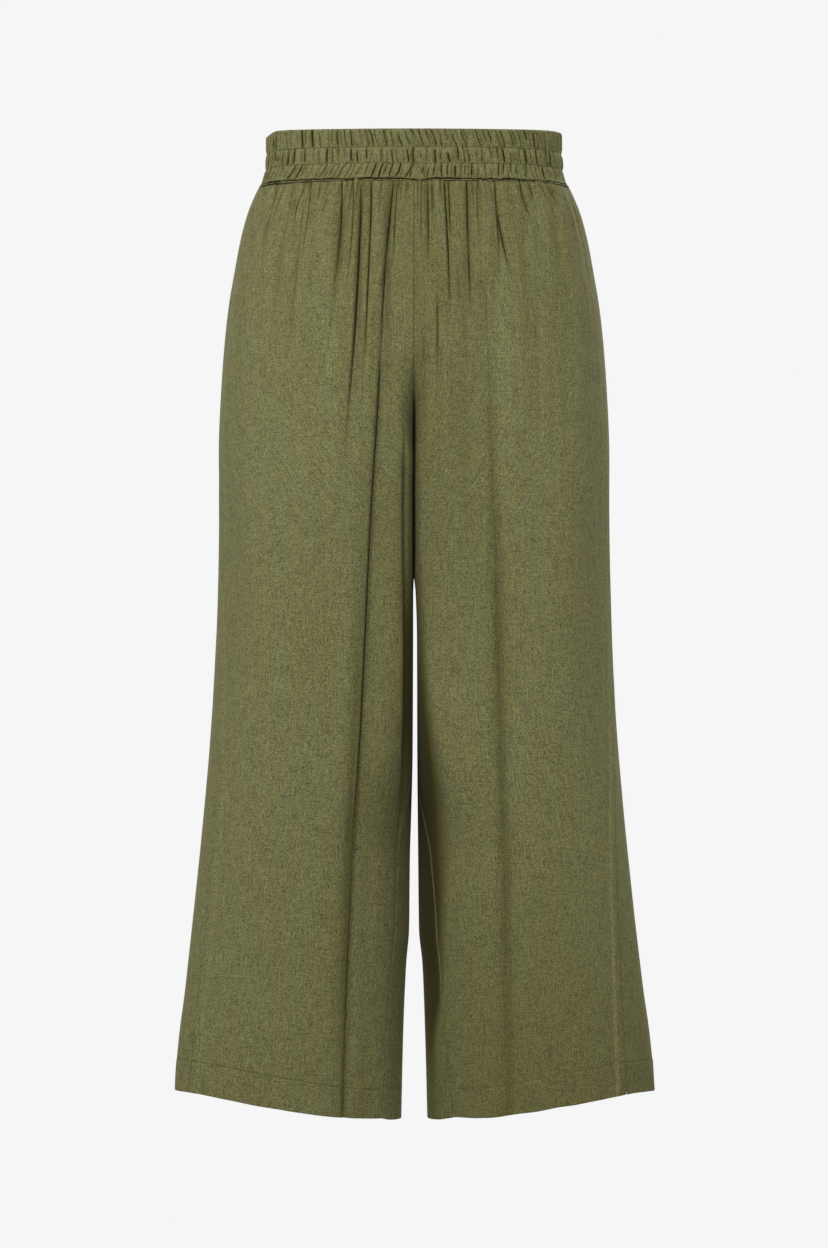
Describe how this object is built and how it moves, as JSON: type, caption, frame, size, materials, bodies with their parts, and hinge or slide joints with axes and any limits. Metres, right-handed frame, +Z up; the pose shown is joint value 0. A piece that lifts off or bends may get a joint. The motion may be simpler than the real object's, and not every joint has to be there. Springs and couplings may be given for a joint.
{
  "type": "culottes",
  "caption": "Pull-on culottes with wide cropped legs, turned-up hems and a ruched elastic waistband, hollow as worn and held at the waist.",
  "frame": {"origin": "middle of the waistband, half way up it, on the garment's middle plane, where a wearer's waist holds it", "axes": "+Z up along the wearer, front of the garment faces -Y, +X to the right of someone who looks at the front"},
  "size_m": [0.4164, 0.2486, 0.854],
  "materials": {
    "leg_cloth": "matt olive linen-blend plain weave with slubs",
    "band_cloth": "the same matt cloth, ruched over elastic"
  },
  "bodies": {
    "root": {"waistband": "band_cloth", "front_left": "leg_cloth", "front_right": "leg_cloth", "back_left": "leg_cloth", "back_right": "leg_cloth"}
  },
  "joints": []
}
